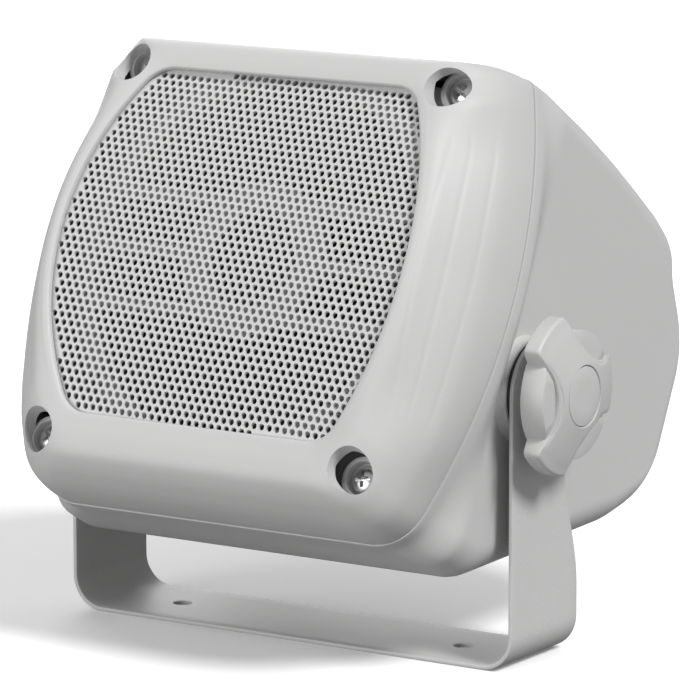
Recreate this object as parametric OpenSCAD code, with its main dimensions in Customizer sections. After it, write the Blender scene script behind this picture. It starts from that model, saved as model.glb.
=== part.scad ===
// Small box speaker that tilts on a U shaped strap bracket with two clamp knobs.
// Units are millimetres. X runs to the right, the grille faces -Y, Z is up.
// The bracket stands on Z = 0 with the middle of its base over the origin.

/* [Bracket] */
// Gap between each side of the enclosure and the leg beside it
leg_gap = 5.45; // [4.8:0.05:9]
// Depth of the strap from front to back
strap_depth = 42; // [38:0.5:48]
// Thickness of the strap
strap_t = 1.5; // [1.2:0.1:3]
// Outside radius of the two bends
bend_r = 12; // [6:0.5:18]
// Height of the pivot above the underside of the base
pivot_h = 92.3; // [90:0.1:110]
// Distance from the front edge of a leg back to the pivot
pivot_from_front = 17; // [14:0.5:19]
// Height where the rear edge of a leg starts to narrow
leg_taper_low = 22; // [16:1:30]
// Height where the rear edge of a leg stops narrowing
leg_taper_high = 66; // [50:1:70]
// Spacing of the two fixing holes in the base
base_hole_spacing = 115; // [90:1:130]
// Diameter of the fixing holes in the base
base_hole_d = 6.5; // [4:0.1:8]

/* [Cabinet] */
// Tilt of the cabinet on its bracket, top leaning back
tilt = 26.5; // [0:0.5:55]
// Width of the enclosure behind its front flange
body_w = 164.5; // [160:0.5:170]
// Reach of the flange and the bezel beyond each side of the enclosure
flange_reach = 7.1; // [5:0.1:8]
// Height of the bezel above the centre of the cabinet
bezel_up = 82.7; // [80:0.1:86]
// Height of the bezel below the centre of the cabinet
bezel_down = 79.5; // [78:0.5:84]
// Height of the widest point of the bezel above the centre of the cabinet
belly_z = 7.5; // [4:0.5:10]
// Radius of the bowed sides of the bezel
side_bow_r = 216; // [180:2:260]
// Radius of the upper corners of the bezel outline
bezel_corner_r = 5.5; // [4:0.5:12]
// Radius of the lower corners of the bezel outline
bezel_low_corner_r = 18; // [10:0.5:22]
// Wall of the bezel moulding
bezel_wall = 3; // [2:0.25:4]
// Wall of the rear enclosure
shell_wall = 3; // [2:0.25:4]
// Depth over which the flange keeps its full width
flange_depth = 4; // [2:0.5:5]
// Depth of the enclosure behind the parting line
shell_depth = 134; // [126:1:140]
// Fall of the top of the enclosure for each millimetre of depth
top_fall = 0.09; // [0.05:0.01:0.12]
// Flat depth of the underside before it slopes up
underside_depth = 30; // [24:1:32]
// Slope of the underside
underside_slope = 28.2; // [26:0.1:30]
// Distance of the pivot behind the parting line
pivot_back = 30; // [28:0.5:36]
// Distance of the pivot below the centre of the cabinet
pivot_drop = 14.3; // [10:0.1:20]

/* [Grille] */
// Width of the bezel between its outline and the grille opening at its widest
frame_w = 20.85; // [18:0.05:26]
// Height of the grille opening
grille_h = 122; // [112:0.5:124]
// Height of the middle of the grille above the centre of the cabinet
grille_z = 6.2; // [3:0.1:7]
// Radius of the bowed sides of the grille opening
grille_bow_r = 114; // [100:1:160]
// Corner radius of the grille opening
grille_corner_r = 12; // [8:0.5:16]
// Radius of the arch of the grille about the X axis
grille_arch_r = 255; // [220:5:320]
// Distance of the crown of the grille in front of the parting line
grille_crown = 34.8; // [33:0.1:37]
// Thickness of the grille sheet
grille_t = 1; // [0.8:0.1:1.5]
// Width of the grille edge that lies behind the rim of the bezel
grille_lap = 2.5; // [2:0.1:3]
// Pitch of the holes in the grille
hole_pitch = 9; // [8:0.5:12]
// Diameter of the holes in the grille
hole_d = 6; // [4:0.25:7]

/* [Screws] */
// Distance of the bezel screws inside the widest outline of the bezel
screw_in = 26.85; // [24:0.05:30]
// Spacing of the bezel screws up the cabinet
screw_span_z = 132.6; // [130:0.1:134]
// Middle of the bezel screws above the centre of the cabinet
screw_mid_z = 3.8; // [2.6:0.1:4.6]
// Depth of the screw seat in front of the parting line
seat_y = 16.5; // [14:0.5:19]
// Diameter of the screw wells in the bezel
well_d = 11.5; // [10.5:0.5:13]
// Diameter of the screw heads
screw_head_d = 9.4; // [8:0.1:10]
// Diameter of the screw shanks
screw_d = 5; // [4:0.1:5.5]
// Length of the screw shanks
screw_len = 28; // [20:1:34]

/* [Woofer] */
// Distance of the front of the baffle in front of the parting line
baffle_y = 10; // [8:0.5:11]
// Thickness of the baffle
baffle_t = 4; // [3:0.25:5]
// Gap between the flange of the basket and the wall beside it
basket_gap = 10.25; // [8:0.25:14]
// Width of the flange of the basket round the opening in the baffle
basket_rim = 8; // [7:0.25:10]
// Depth of the basket behind the baffle
basket_depth = 42; // [36:1:46]
// Width of the surround between the basket and the cone
surround_w = 12; // [10:0.5:15]
// Radius of the voice coil former
former_r = 13; // [11:0.25:15]
// Distance of the edge of the magnet inside the flange of the basket
magnet_in = 24; // [22:1:30]
// Thickness of the magnet
magnet_t = 15; // [10:0.5:18]
// Thickness of the plates on both sides of the magnet
plate_t = 5; // [4:0.5:6]

/* [Tweeter] */
// Outside radius of the ring that carries the tweeter
tweeter_ring_r = 27; // [24:0.5:30]
// Radius of the tweeter opening
tweeter_r = 15; // [12:0.5:17]
// Spacing of the three bars that carry the ring on each side
bar_pitch = 19.5; // [17:0.5:21]
// Height of each bar
bar_h = 4.5; // [3:0.25:6]

/* [Knobs] */
// Outside diameter of a clamp knob over its lobes
knob_d = 54; // [48:0.5:60]
// Thickness of a clamp knob
knob_t = 16; // [14:0.5:20]
// Diameter of the round base of a clamp knob
knob_base_d = 43; // [38:0.5:46]
// Thickness of the round base of a clamp knob
knob_base_t = 10; // [8:0.5:12]
// Radius of the scallops between the lobes
scallop_r = 22; // [16:0.5:26]
// Radius left at the bottom of a scallop
scallop_floor_r = 14; // [12:0.5:17]
// Diameter of the round cap in the middle of a knob
cap_d = 20; // [14:0.5:22]
// Diameter of the clamp stud
stud_d = 8; // [6:0.5:10]

/* [Hidden] */

// Colours as the photograph shows them
shell_colour = [0.83, 0.83, 0.82];
metal_colour = [0.72, 0.72, 0.72];
steel_colour = [0.62, 0.62, 0.63];
dark_colour = [0.13, 0.13, 0.14];

// Clearances
touch = 0.1;
running = 0.05;
press = 0.02;
foot = 0.3;

// Derived places, all in the cabinet frame unless a name says otherwise.
// The cabinet frame has Y = 0 at the parting line and Z = 0 at the centre of the bezel.
pivot_y = -strap_depth / 2 + pivot_from_front;
bracket_w = body_w + 2 * (leg_gap + strap_t);
bezel_w = body_w + 2 * flange_reach;
grille_w = bezel_w - 2 * frame_w;
basket_r = body_w / 2 - shell_wall - basket_gap;
baffle_hole_r = basket_r - basket_rim;
cone_r = baffle_hole_r - surround_w;
magnet_r = basket_r - magnet_in;
leg_in = bracket_w / 2 - strap_t;
leg_out = bracket_w / 2;
head_r = pivot_from_front;
washer_t = 1.5;
boss_face = leg_in - washer_t - touch;
boss_r = 17;
insert_r = 6;
insert_len = 20;
gasket_t = 1;
rim_h = 2.8;
bezel_half = bezel_w / 2;
body_half = body_w / 2;
lip = 0.4;
back_z = 8;
side_flat_r = 4000;
neck_end = 19;
underside_drop = 1.4;
edge_r = 9;
low_edge_r = 10.5;
screw_x = bezel_half - screw_in;
screw_top = screw_mid_z + screw_span_z / 2;
screw_low = screw_mid_z - screw_span_z / 2;
rib_y = 15;
rib_depth = underside_depth - 2 - rib_y;
head_t = 3.4;
shank_r = screw_d / 2;
bridge_y = baffle_y + 11;
flange_t = 1.5;
surround_t = 0.8;
former_t = 0.25;
pole_r = former_r - 0.6;
gap_r = former_r + 1.3;
plate_y = -baffle_y + basket_depth;
cone_front_y = -baffle_y - flange_t;
cone_back_y = 14;
tweeter_depth = 11;
woofer_screw_r = (baffle_hole_r + basket_r) / 2 + 0.5;
board_z = -bezel_down + shell_wall + 4;
board_t = 1.6;
board_w = 80;
board_d = 18;
board_y = 13;
knob_in = leg_out + 2 * touch;
lobe_lift = 1.5;
grommet_r = 5;

// Points round one quarter of a barrel outline, from the middle of the top or bottom
// edge, round the corner arc and down the bowed side to its widest point.
function quarter(hw, h, bow, rc, sx, sz, zmid) =
    let(
        ax = hw - bow,
        cx = ax + sqrt(pow(bow - rc, 2) - pow(h - rc, 2)),
        turn = asin((h - rc) / (bow - rc)),
        nt = 4,
        nc = 5,
        ns = 6
    )
    [
        for (i = [0 : nt - 1]) [sx * cx * i / nt, zmid + sz * h],
        for (i = [0 : nc - 1])
            let(a = 90 - (90 - turn) * i / nc)
            [sx * (cx + rc * cos(a)), zmid + sz * (h - rc + rc * sin(a))],
        for (i = [0 : ns])
            let(a = turn * (1 - i / ns))
            [sx * (ax + bow * cos(a)), zmid + sz * bow * sin(a)]
    ];

// Closed barrel outline with its widest point at zmid, going clockwise from the top.
function barrel(hw, up, down, bow, rc, low_rc, zmid) =
    let(
        a = quarter(hw, up, bow, rc, 1, 1, zmid),
        b = quarter(hw, down, bow, low_rc, 1, -1, zmid),
        c = quarter(hw, down, bow, low_rc, -1, -1, zmid),
        d = quarter(hw, up, bow, rc, -1, 1, zmid),
        n = len(a) - 1
    )
    concat(
        [for (i = [0 : n - 1]) a[i]],
        [for (i = [0 : n - 1]) b[n - i]],
        [for (i = [0 : n - 1]) c[i]],
        [for (i = [0 : n - 1]) d[n - i]]
    );

// Outlines used by more than one piece
function bezel_line(inset) =
    barrel(
        bezel_half - inset, bezel_up - belly_z - inset, bezel_down + belly_z - inset,
        side_bow_r - inset, max(2, bezel_corner_r - inset),
        max(2, bezel_low_corner_r - inset), belly_z
    );
function grille_line(grow) =
    barrel(
        grille_w / 2 + grow, grille_h / 2 + grow, grille_h / 2 + grow,
        grille_bow_r + grow, grille_corner_r + grow, grille_corner_r + grow, grille_z
    );

// Front of the grille sheet at a height
function arch_y(z) =
    grille_arch_r - grille_crown - sqrt(pow(grille_arch_r, 2) - pow(z - grille_z, 2));

// Middle of a ring of points
function middle(ring) = [for (p = ring) 1] * ring / len(ring);

// Skin over rings of points, closed on itself or closed by a fan at both ends
module loft(rings, closed = false) {
    m = len(rings);
    n = len(rings[0]);
    last = closed ? m - 1 : m - 2;
    ends = closed ? [] : [middle(rings[0]), middle(rings[m - 1])];
    points = concat([for (r = rings) for (p = r) p], ends);
    sides = [
        for (i = [0 : last]) for (j = [0 : n - 1])
            let(a = i * n, b = ((i + 1) % m) * n, k = (j + 1) % n)
            each [[a + j, b + k, a + k], [a + j, b + j, b + k]]
    ];
    fans = closed ? [] : [
        for (j = [0 : n - 1])
            let(k = (j + 1) % n, b = (m - 1) * n)
            each [[m * n, j, k], [m * n + 1, b + k, b + j]]
    ];
    polyhedron(points = points, faces = concat(sides, fans), convexity = 8);
}

// Puts pieces that are drawn in the cabinet frame onto the tilted pivot
module in_cabinet() {
    translate([0, pivot_y, pivot_h])
        rotate([-tilt, 0, 0])
            translate([0, -pivot_back, pivot_drop])
                children();
}

// A cylinder along Y from y0 to y1
module rod_y(r, y0, y1, x = 0, z = 0) {
    translate([x, y0, z])
        rotate([-90, 0, 0])
            cylinder(r = r, h = y1 - y0, $fn = 64);
}

// A cylinder along X from x0 to x1
module rod_x(r, x0, x1, y = 0, z = 0) {
    translate([x0, y, z])
        rotate([0, 90, 0])
            cylinder(r = r, h = x1 - x0, $fn = 64);
}

// Turns a profile of radius and depth about the axis of the woofer
module turned() {
    translate([0, 0, grille_z])
        rotate([-90, 0, 0])
            rotate_extrude($fn = 96)
                children();
}

module at_screws() {
    for (sx = [-1, 1]) for (sz = [-1, 1])
        translate([sx * screw_x, 0, screw_mid_z + sz * screw_span_z / 2])
            children();
}

module at_woofer_screws() {
    for (a = [45 : 90 : 315])
        translate([woofer_screw_r * cos(a), 0, grille_z + woofer_screw_r * sin(a)])
            children();
}

// Bracket: strap bent to a U, its legs narrowed towards the round head at the pivot
function rear_edge(z) =
    let(
        low = strap_depth / 2,
        high = pivot_y + head_r - 0.6,
        f = min(1, max(0, (z - leg_taper_low) / (leg_taper_high - leg_taper_low)))
    )
    low - (low - high) * (1 - cos(180 * f)) / 2;

module leg_side() {
    steps = 14;
    head_steps = 24;
    rear_turn = acos((head_r - 0.6) / head_r);
    polygon([
        [-strap_depth / 2, -1],
        for (i = [0 : head_steps])
            let(a = 180 - (180 - rear_turn) * i / head_steps)
            [pivot_y + head_r * cos(a), pivot_h + head_r * sin(a)],
        for (i = [0 : steps])
            let(z = leg_taper_high - (leg_taper_high - leg_taper_low) * i / steps)
            [rear_edge(z), z],
        [strap_depth / 2, -1]
    ]);
}

// One bend of the strap, its flat runs meeting it at both ends
module strap_bend() {
    rotate([90, 0, 0])
        rotate_extrude(angle = 90, $fn = 96)
            translate([bend_r - strap_t, -strap_depth])
                square([strap_t, 2 * strap_depth]);
}

module strap_form() {
    flat = bracket_w / 2 - bend_r;
    translate([-flat, -strap_depth, 0])
        cube([2 * flat, 2 * strap_depth, strap_t]);
    for (s = [0, 1])
        mirror([s, 0, 0]) {
            translate([flat, 0, bend_r])
                rotate([0, 90, 0])
                    strap_bend();
            translate([leg_in, -strap_depth, bend_r])
                cube([strap_t, 2 * strap_depth, pivot_h + head_r]);
        }
}

module bracket() {
    color(shell_colour)
    difference() {
        intersection() {
            strap_form();
            rotate([90, 0, 90])
                translate([0, 0, -bracket_w])
                    linear_extrude(2 * bracket_w)
                        leg_side();
        }
        for (s = [-1, 1])
            translate([s * base_hole_spacing / 2, 0, -1])
                cylinder(d = base_hole_d, h = strap_t + 2, $fn = 48);
        rod_x(stud_d / 2 + running, -bracket_w, bracket_w, pivot_y, pivot_h);
    }
}

// Enclosure: the barrel outline of the flange runs over into a body with flat sides,
// whose top and underside close on the bowed back. Each pair of the back is a distance
// in front of the rearmost plane and a height, on the top and on the underside.
top_back = [
    [0, 11], [0.7, 16], [2, 21], [4, 28], [6.3, 34], [9, 39.6], [12, 44.6], [16, 49],
    [20, 53], [24, 57.5], [27, 63.6], [31, 66.6], [41, 69.9], [58, 73.4], [76, 76.7],
    [95, 79.4], [130, 84]
];
bottom_back = [
    [0, -3], [0.7, -8], [2, -11], [5.5, -18.4], [10, -27.3], [14, -31], [22, -37], [60, -90]
];

function body_top(y) =
    min(bezel_up - lip - top_fall * max(0, y - 2 * flange_depth), lookup(shell_depth - y, top_back));
function body_bottom(y) =
    max(
        -bezel_down - underside_drop * min(1, y / underside_depth)
            + max(0, y - underside_depth) * tan(underside_slope),
        lookup(shell_depth - y, bottom_back)
    );
function body_half_at(y) =
    body_half - edge_r * (1 - sqrt(1 - pow(max(0, (y - shell_depth + edge_r) / edge_r), 2)));
function neck_share(y) =
    let(t = min(1, max(0, (y - flange_depth) / (neck_end - flange_depth)))) t * t * (3 - 2 * t);

// Outline of the enclosure at a depth, moved in by an inset, and where it lies
function shell_ring(y, inset, at) =
    let(
        f = neck_share(y),
        yy = min(y, shell_depth - 0.4),
        top = body_top(yy) - inset,
        bottom = body_bottom(yy) + inset,
        h = max(3, (top - bottom) / 2),
        rc = min(edge_r - inset / 2, h - 1),
        low_rc = min(low_edge_r - inset / 2, h - 1),
        body = barrel(body_half_at(yy) - inset, h, h, side_flat_r, rc, low_rc, (top + bottom) / 2),
        rim = bezel_line(inset - lip)
    )
    [for (i = [0 : len(body) - 1]) let(p = rim[i] * (1 - f) + body[i] * f) [p[0], at, p[1]]];

module shell_form() {
    back_ds = [58, 41, 31, 26, 24, 20, 16, 12, 9, 6.3, 4, 2, 0.7, 0];
    reach = shell_depth - underside_depth;
    inner_reach = reach - shell_wall - 0.6;
    front_ys = [7, 10, 13, 16, neck_end];
    body_ys = concat([underside_depth, underside_depth + 24], [for (d = back_ds) shell_depth - d]);
    outer = concat(
        [shell_ring(0, 0, 0), shell_ring(flange_depth, 0, flange_depth)],
        [for (y = front_ys) shell_ring(y, 0, y)],
        [for (y = body_ys) shell_ring(y, 0, min(y, shell_depth - 0.4))]
    );
    inner = concat(
        [for (i = [len(body_ys) - 1 : -1 : 0])
            let(y = body_ys[i])
            shell_ring(y, shell_wall, underside_depth + (y - underside_depth) * inner_reach / reach)],
        [for (i = [4 : -1 : 0]) shell_ring(front_ys[i], shell_wall, front_ys[i])],
        [shell_ring(0, shell_wall, 0)]
    );
    loft(concat(inner, outer));
}

module rear_enclosure() {
    color(shell_colour)
    in_cabinet()
    difference() {
        union() {
            shell_form();
            for (s = [-1, 1]) {
                rod_x(boss_r, s > 0 ? body_half - 2 : -boss_face,
                    s > 0 ? boss_face : -body_half + 2, pivot_back, -pivot_drop);
                rod_x(insert_r + 3, s > 0 ? boss_face - insert_len - 2 : -body_half + 1,
                    s > 0 ? body_half - 1 : -boss_face + insert_len + 2,
                    pivot_back, -pivot_drop);
            }
            at_screws()
                rod_y(shank_r + 3.5, -baffle_y + baffle_t, underside_depth);
            for (sx = [-1, 1])
                translate([sx * screw_x - 1.25, rib_y, 0]) {
                    translate([0, 0, screw_top + 4])
                        cube([2.5, rib_depth, bezel_up - 3 - screw_top - 4]);
                    translate([0, 0, -bezel_down + 0.3])
                        cube([2.5, rib_depth, bezel_down - 0.3 + screw_low - 4]);
                }
            for (sx = [-1, 1])
                translate([sx * board_w * 0.4, board_y, -bezel_down])
                    cylinder(r = 3.5, h = board_z + bezel_down, $fn = 32);
        }
        for (s = [-1, 1])
            rod_x(insert_r + press, s > 0 ? boss_face - insert_len : -boss_face - 1,
                s > 0 ? boss_face + 1 : -boss_face + insert_len, pivot_back, -pivot_drop);
        at_screws()
            rod_y(shank_r + press, -baffle_y, underside_depth - 3);
        for (sx = [-1, 1])
            translate([sx * board_w * 0.4, board_y, board_z - 7])
                cylinder(r = 1.5 + press, h = 8, $fn = 32);
        rod_y(grommet_r + press, shell_depth - 12, shell_depth + 5, 0, back_z);
    }
}

// Bezel: one moulding from the rim of the grille opening out to the parting line.
// Each pair is the share of the way out from the opening and of the depth of the front.
side_profile = [
    [0.12, 1], [0.26, 0.96], [0.45, 0.82], [0.63, 0.675], [0.785, 0.53], [0.895, 0.4],
    [0.957, 0.25], [0.99, 0.105], [1, 0]
];
top_profile = [
    [0.16, 1], [0.35, 0.985], [0.55, 0.95], [0.72, 0.85], [0.83, 0.69], [0.91, 0.5],
    [0.955, 0.33], [0.987, 0.15], [1, 0]
];
bottom_profile = [
    [0.12, 1], [0.35, 0.985], [0.58, 0.93], [0.74, 0.8], [0.85, 0.62], [0.92, 0.45],
    [0.96, 0.29], [0.988, 0.13], [1, 0]
];

// Share of the side profile at a point of the opening: all of it on the sides and part
// of it in the corners, where the front falls away sooner
function corner_share(p) =
    let(
        x = abs(p[0]) / (grille_w / 2),
        z = abs(p[1] - grille_z) / (grille_h / 2)
    )
    min(1, max(0, (x - 0.62) / 0.16)) * min(1, max(0, (z - 0.7) / 0.15));
function side_share(p) =
    let(z = abs(p[1] - grille_z) / (grille_h / 2))
    max(min(1, max(0, 1 - 2.2 * max(0, z - 0.55))), (p[1] > grille_z ? 0.55 : 0.4) * corner_share(p));
// The flanks are fuller below the middle of the grille than above it
function flank_lean(p, i) =
    min(0.1, max(-0.03, (grille_z - 8 - p[1]) / 320)) * sin(22.5 * i);
function blend(p, i) =
    let(
        s = side_share(p),
        e = p[1] > grille_z ? top_profile[i] : bottom_profile[i]
    )
    side_profile[i] * s + e * (1 - s) + [s * flank_lean(p, i), 0];

module bezel_form() {
    open_line = grille_line(0);
    seat_line = grille_line(grille_lap + touch);
    out_line = bezel_line(0);
    in_line = bezel_line(bezel_wall);
    n = len(open_line);
    front = [for (p = open_line) arch_y(p[1]) - rim_h];
    ring_lip = [
        for (e = [[0, -touch], [0, -rim_h * 0.55]])
            [for (j = [0 : n - 1])
                [open_line[j][0], arch_y(open_line[j][1]) + e[1], open_line[j][1]]]
    ];
    ring_roll = [
        [for (j = [0 : n - 1])
            let(p = open_line[j] + (out_line[j] - open_line[j]) * 0.035)
            [p[0], front[j] + rim_h * 0.16, p[1]]]
    ];
    ring_out = [
        for (i = [0 : 8])
            [for (j = [0 : n - 1])
                let(b = blend(open_line[j], i), p = open_line[j] + (out_line[j] - open_line[j]) * b[0])
                [p[0], front[j] * b[1] - gasket_t * (1 - b[1]), p[1]]]
    ];
    ring_in = [
        for (i = [8 : -1 : 2])
            [for (j = [0 : n - 1])
                let(
                    b = blend(open_line[j], i),
                    q = seat_line[j] + (in_line[j] - seat_line[j]) * max(0.06, (b[0] - 0.2) / 0.8),
                    y = i == 8 ? -gasket_t : front[j] * b[1] - gasket_t * (1 - b[1]) + bezel_wall
                )
                [q[0], min(y, -gasket_t), q[1]]]
    ];
    ring_seat = [
        for (e = [grille_t + 2, -touch])
            [for (j = [0 : n - 1])
                [seat_line[j][0], arch_y(seat_line[j][1]) + e, seat_line[j][1]]]
    ];
    loft(concat(ring_lip, ring_roll, ring_out, ring_in, ring_seat), closed = true);
}

module front_bezel() {
    color(shell_colour)
    in_cabinet()
    difference() {
        union() {
            bezel_form();
            intersection() {
                at_screws()
                    rod_y(well_d / 2 + 2, -grille_crown, -baffle_y - touch);
                bezel_core();
            }
        }
        at_screws() {
            rod_y(well_d / 2, -grille_crown - 10, -seat_y);
            rod_y(shank_r + 0.3, -grille_crown, 0);
        }
    }
}

// Solid inside the outer face of the bezel, to trim the tubes of the screw wells
module bezel_core() {
    open_line = grille_line(0);
    out_line = bezel_line(0);
    n = len(open_line);
    rings = [
        for (i = [0 : 8])
            [for (j = [0 : n - 1])
                let(
                    b = blend(open_line[j], i),
                    p = open_line[j] + (out_line[j] - open_line[j]) * b[0],
                    f = arch_y(open_line[j][1]) - rim_h
                )
                [p[0], f * b[1] - gasket_t * (1 - b[1]) + 0.4, p[1]]]
    ];
    inside = [
        [for (p = open_line * 0.9) [p[0], -baffle_y, p[1]]],
        [for (p = open_line) [p[0], arch_y(p[1]) + grille_t + 1, p[1]]]
    ];
    shut = [[for (p = bezel_line(0.5)) [p[0], 2, p[1]]]];
    loft(concat(inside, rings, shut));
}

module grille() {
    h = hole_pitch * sqrt(3) / 2;
    rows = floor(grille_h / 2 / h);
    cols = floor(grille_w / 2 / hole_pitch);
    margin = hole_d / 2 + 2;
    color(metal_colour)
    in_cabinet()
    difference() {
        intersection() {
            translate([-grille_w, grille_arch_r - grille_crown, grille_z])
                rotate([0, 90, 0])
                    difference() {
                        cylinder(r = grille_arch_r, h = 2 * grille_w, $fn = 180);
                        cylinder(r = grille_arch_r - grille_t, h = 5 * grille_w, center = true,
                            $fn = 180);
                    }
            rotate([90, 0, 0])
                linear_extrude(grille_crown + 10)
                    polygon([for (p = grille_line(grille_lap)) [p[0], p[1]]]);
        }
        for (j = [-rows : rows]) for (i = [-cols - 1 : cols + 1])
            let(
                x = (i + (abs(j) % 2) / 2) * hole_pitch,
                z = j * h,
                side = grille_w / 2 - grille_bow_r + sqrt(pow(grille_bow_r, 2) - z * z)
            )
            if (abs(x) < side - margin && abs(z) < grille_h / 2 - margin)
                rod_y(hole_d / 2, -grille_crown - 2, -grille_crown + 16, x, grille_z + z);
    }
}

module front_gasket() {
    color(dark_colour)
    in_cabinet()
    rotate([90, 0, 0])
        linear_extrude(gasket_t)
            difference() {
                polygon(bezel_line(0.8));
                polygon(bezel_line(bezel_wall + 1.6));
            }
}

// Pan head screw with a cross recess, its seat at y = 0 and its shank along +Y
module pan_screw(head_d, shank_d, len, head_h) {
    difference() {
        union() {
            rotate([90, 0, 0])
                rotate_extrude($fn = 48)
                    polygon([
                        [0, 0], [head_d / 2, 0], [head_d / 2, head_h * 0.35],
                        for (a = [15 : 15 : 75])
                            [head_d / 2 * cos(a), head_h * (0.35 + 0.65 * sin(a))],
                        [0, head_h]
                    ]);
            rod_y(shank_d / 2, -head_h / 2, len - shank_d);
            translate([0, len - shank_d - 0.01, 0])
                rotate([-90, 0, 0])
                    cylinder(r1 = shank_d / 2, r2 = shank_d / 8, h = shank_d, $fn = 48);
        }
        for (a = [0, 90])
            rotate([0, a + 20, 0])
                translate([-head_d * 0.27, -head_h - 1, -head_d * 0.06])
                    cube([head_d * 0.54, head_h * 0.6 + 1, head_d * 0.12]);
    }
}

module bezel_screws() {
    color(steel_colour)
    in_cabinet()
    at_screws()
        translate([0, -seat_y - foot, 0])
            pan_screw(screw_head_d, screw_d, screw_len, head_t);
}

// Baffle: flat board behind the bezel that carries the woofer
module baffle() {
    color(shell_colour)
    in_cabinet()
    difference() {
        translate([0, -baffle_y + baffle_t, 0])
            rotate([90, 0, 0])
                linear_extrude(baffle_t)
                    polygon(bezel_line(bezel_wall + 5.5));
        rod_y(baffle_hole_r, -baffle_y - 1, 0, 0, grille_z);
        at_screws()
            rod_y(shank_r + 0.3, -baffle_y - 1, 0);
        at_woofer_screws()
            rod_y(1.75 + press, -baffle_y - 1, -baffle_y + baffle_t - 0.8);
    }
}

// Bridge in front of the woofer: outer ring, three bars on each side and a centre ring
module tweeter_bridge() {
    bar_t = 3.5;
    color(shell_colour)
    in_cabinet()
    difference() {
        union() {
            turned()
                translate([baffle_hole_r + 1.5, -bridge_y])
                    square([basket_r - baffle_hole_r - 1.5, bridge_y - baffle_y - flange_t]);
            turned()
                translate([tweeter_r + 2, -bridge_y])
                    square([tweeter_ring_r - tweeter_r - 2, bar_t]);
            for (s = [-1, 1]) for (k = [-1, 0, 1])
                let(
                    z = k * bar_pitch,
                    x0 = sqrt(pow(tweeter_ring_r - 1, 2) - z * z),
                    x1 = sqrt(pow(baffle_hole_r + 2.5, 2) - z * z)
                )
                translate([s > 0 ? x0 : -x1, -bridge_y, grille_z + z - bar_h / 2])
                    cube([x1 - x0, bar_t, bar_h]);
        }
        at_woofer_screws()
            rod_y(1.75 + 0.2, -bridge_y - 1, 0);
    }
}

// Woofer: pressed basket, soft surround, cone, coil and motor, all turned about one axis
module woofer_basket() {
    foot_r = magnet_r - 8;
    color(dark_colour)
    in_cabinet()
    difference() {
        turned()
            polygon([
                [basket_r, -baffle_y - flange_t], [basket_r, -baffle_y],
                [baffle_hole_r - 1, -baffle_y], [baffle_hole_r - 3, -baffle_y + 12],
                [foot_r + 2, plate_y], [gap_r + 4, plate_y], [gap_r + 4, plate_y - flange_t],
                [foot_r + 1, plate_y - flange_t], [baffle_hole_r - 4.6, -baffle_y + 11.5],
                [baffle_hole_r - 2.5, -baffle_y], [baffle_hole_r - 3.5, -baffle_y - flange_t]
            ]);
        for (a = [45 : 90 : 315])
            translate([0, 0, grille_z])
                rotate([0, a, 0])
                    translate([foot_r - 2, -baffle_y + 14, -16])
                        cube([40, basket_depth - 20, 32]);
        at_woofer_screws()
            rod_y(1.75 + 0.2, -bridge_y, 0);
    }
}

module woofer_surround() {
    roll = (baffle_hole_r - 3 - cone_r) / 2;
    mid = cone_r + foot + roll + surround_t;
    y0 = -baffle_y - flange_t;
    color(dark_colour)
    in_cabinet()
    turned()
        polygon([
            for (i = [0 : 12])
                let(a = 180 - 15 * i) [mid + roll * cos(a), y0 - roll * sin(a)],
            [baffle_hole_r + 1, y0], [baffle_hole_r + 1, y0 - surround_t],
            for (i = [0 : 12])
                let(a = 15 * i, r = roll + surround_t)
                [mid + r * cos(a), min(y0 - surround_t, y0 - r * sin(a))]
        ]);
}

module woofer_cone() {
    t = 0.9;
    color(dark_colour)
    in_cabinet()
    turned()
        polygon([
            [former_r + former_t + t, cone_back_y], [former_r, cone_back_y],
            [former_r, cone_back_y - t], [cone_r * 0.55, cone_back_y - 11],
            [cone_r, cone_front_y - surround_t], [cone_r, cone_front_y + t],
            [cone_r * 0.55 + 1.2, cone_back_y - 11 + t]
        ]);
}

module woofer_dust_cap() {
    rise = 7;
    cap_r = former_r + 5;
    sphere_r = (cap_r * cap_r + rise * rise) / (2 * rise);
    turn = asin(cap_r / sphere_r);
    y0 = cone_back_y - 5;
    color(dark_colour)
    in_cabinet()
    turned()
        polygon([
            for (i = [0 : 8])
                [sphere_r * sin(turn * i / 8), y0 - rise + sphere_r * (1 - cos(turn * i / 8))],
            for (i = [8 : -1 : 0])
                [(sphere_r - 0.8) * sin(turn * i / 8),
                    y0 - rise + sphere_r - (sphere_r - 0.8) * cos(turn * i / 8)]
        ]);
}

module woofer_former() {
    color([0.75, 0.6, 0.3])
    in_cabinet()
    turned()
        translate([former_r, cone_back_y])
            square([former_t, plate_y + plate_t + 2 - cone_back_y]);
}

module woofer_coil() {
    color([0.72, 0.42, 0.2])
    in_cabinet()
    turned()
        translate([former_r + former_t, plate_y - 1])
            square([0.5, plate_t + 2]);
}

// Spider: pleated disc between the former and the basket
module woofer_spider() {
    y0 = cone_back_y + 7;
    r0 = former_r + former_t + foot;
    r1 = magnet_r - 8 + 5;
    color([0.68, 0.55, 0.25])
    in_cabinet()
    turned()
        polygon([
            for (i = [0 : 24])
                [r0 + (r1 - r0) * i / 24, y0 + 1.1 * sin(i * 75)],
            for (i = [24 : -1 : 0])
                [r0 + (r1 - r0) * i / 24, y0 + 0.6 + 1.1 * sin(i * 75)]
        ]);
}

module woofer_front_plate() {
    color(steel_colour)
    in_cabinet()
    turned()
        translate([gap_r, plate_y])
            square([magnet_r - 4 - gap_r, plate_t]);
}

module woofer_magnet() {
    color(dark_colour)
    in_cabinet()
    turned()
        translate([gap_r + 6, plate_y + plate_t])
            square([magnet_r - gap_r - 6, magnet_t]);
}

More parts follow.
